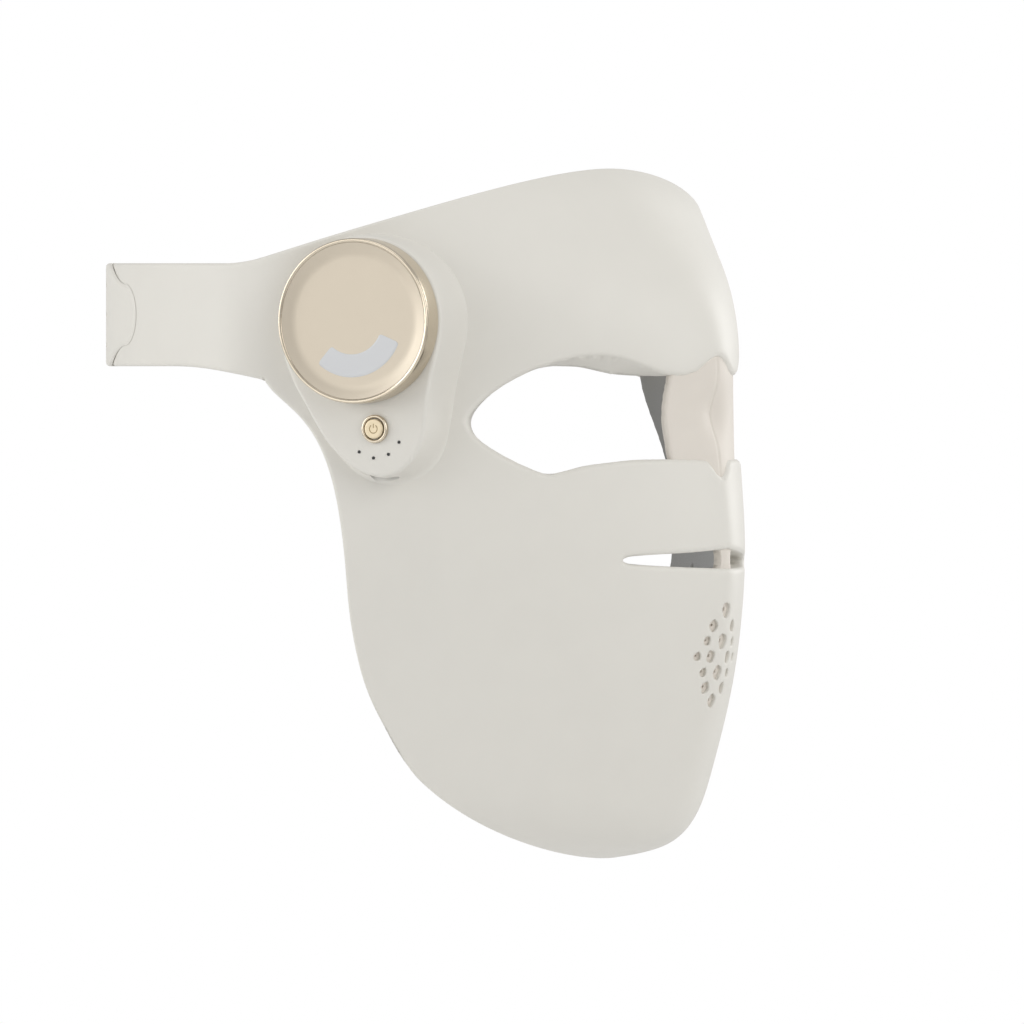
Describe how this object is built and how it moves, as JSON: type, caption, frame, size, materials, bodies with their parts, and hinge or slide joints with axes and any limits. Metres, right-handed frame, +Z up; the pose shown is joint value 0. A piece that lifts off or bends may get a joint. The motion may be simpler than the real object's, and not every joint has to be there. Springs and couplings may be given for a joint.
{
  "type": "led face mask",
  "caption": "Light therapy face mask in pale silicone with a goggle opening, mouth slit and holes, a gold control pod on the right temple and a wrap-round head band.",
  "frame": {"origin": "centre of the wearer's head at eye height, on the mask's middle plane; the head holds the mask up", "axes": "+X the way the mask faces, +Y the wearer's left, +Z up"},
  "size_m": [0.2124, 0.1868, 0.2041],
  "materials": {
    "silicone": "satin silicone",
    "ivory": "matte",
    "dark_lens": "smoky, half gloss",
    "gold": "pale gold, polished edge",
    "satin_gold": "pale gold, satin",
    "pale_window": "frosted",
    "pale_plastic": "matte",
    "black_plastic": "smooth",
    "board": "circuit board",
    "cell": "foil",
    "steel": "bright",
    "fabric": "hook and loop pile"
  },
  "bodies": {
    "mask": {"outer_shell": "silicone", "inner_liner": "dark_lens", "nose_bridge": "ivory", "slit_tie": "ivory", "mouth_screen": "ivory", "forehead_lamp_board": "board", "right_cheek_lamp_board": "board", "left_cheek_lamp_board": "board", "chin_lamp_board": "board", "pod_base": "silicone", "pod_ring": "gold", "pod_face": "satin_gold", "arc_window": "pale_window", "arc_light_guide": "pale_window", "control_board": "board", "button_bezel": "gold", "button_switch": "black_plastic", "button_board": "board", "indicator_pipe_1": "black_plastic", "indicator_pipe_2": "black_plastic", "indicator_pipe_3": "black_plastic", "indicator_pipe_4": "black_plastic", "charging_socket": "steel", "battery_cell": "cell", "pod_back_plate": "pale_plastic", "housing_screw_1": "steel", "housing_screw_2": "steel", "housing_screw_3": "steel", "housing_screw_4": "steel"},
    "power_button": {"power_button": "gold"},
    "left_strap": {"left_strap": "silicone", "loop_pad": "fabric"},
    "right_strap": {"right_strap": "silicone", "hook_pad": "fabric"}
  },
  "joints": [
    {"name": "power_button_press", "type": "slide", "parent": "mask", "child": "power_button", "axis": [-0.2588, 0.9659, 0], "range_m": [0, 0.0006], "stiffness_N_per_m": 600, "springref_m": -0.0003},
    {"name": "left_strap_flex", "type": "hinge", "parent": "mask", "child": "left_strap", "pos_m": [-0.0081, 0.0906, 0.0305], "axis": [0, 0, -1], "range_deg": [0, 35], "stiffness_Nm_per_rad": 0.5},
    {"name": "right_strap_flex", "type": "hinge", "parent": "mask", "child": "right_strap", "pos_m": [-0.0081, -0.0906, 0.0305], "axis": [0, 0, 1], "range_deg": [0, 14.5], "stiffness_Nm_per_rad": 0.5}
  ],
  "couplings": [
    {"joint": "right_strap_flex", "follows": "left_strap_flex", "ratio": 0.4}
  ]
}
